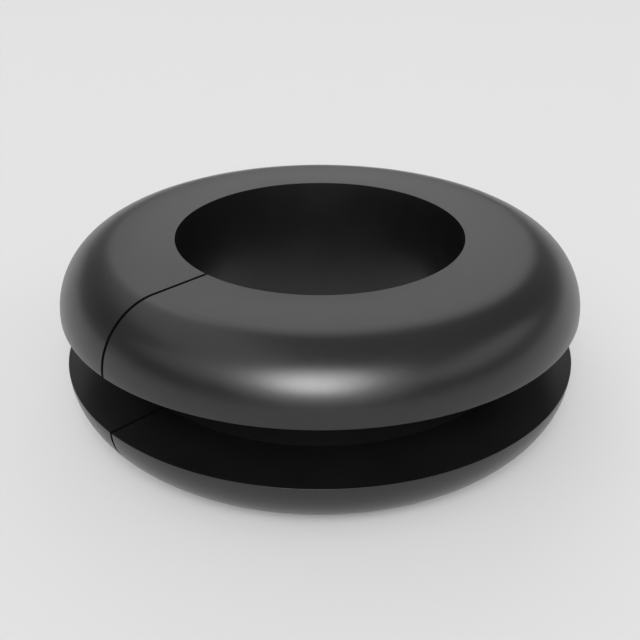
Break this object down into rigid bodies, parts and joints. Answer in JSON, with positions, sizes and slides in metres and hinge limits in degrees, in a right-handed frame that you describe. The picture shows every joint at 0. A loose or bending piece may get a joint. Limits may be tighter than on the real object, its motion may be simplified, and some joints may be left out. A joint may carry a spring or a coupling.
{
  "type": "split rubber grommet",
  "caption": "Round rubber grommet that lines a hole in a panel: a plain bore, rounded flanges with a square groove between them, and a slit down the side to let a cable in.",
  "frame": {"origin": "on the bore's axis, midway between the flat end faces, which is the middle of the panel groove", "axes": "+Z along the bore, with the flat end faces square to it; -Y through the middle of the slit; +X completes the right-handed frame"},
  "size_m": [0.018, 0.018, 0.006],
  "materials": {
    "rubber": "satin black moulded rubber"
  },
  "bodies": {
    "root": {"grommet": "rubber"}
  },
  "joints": []
}
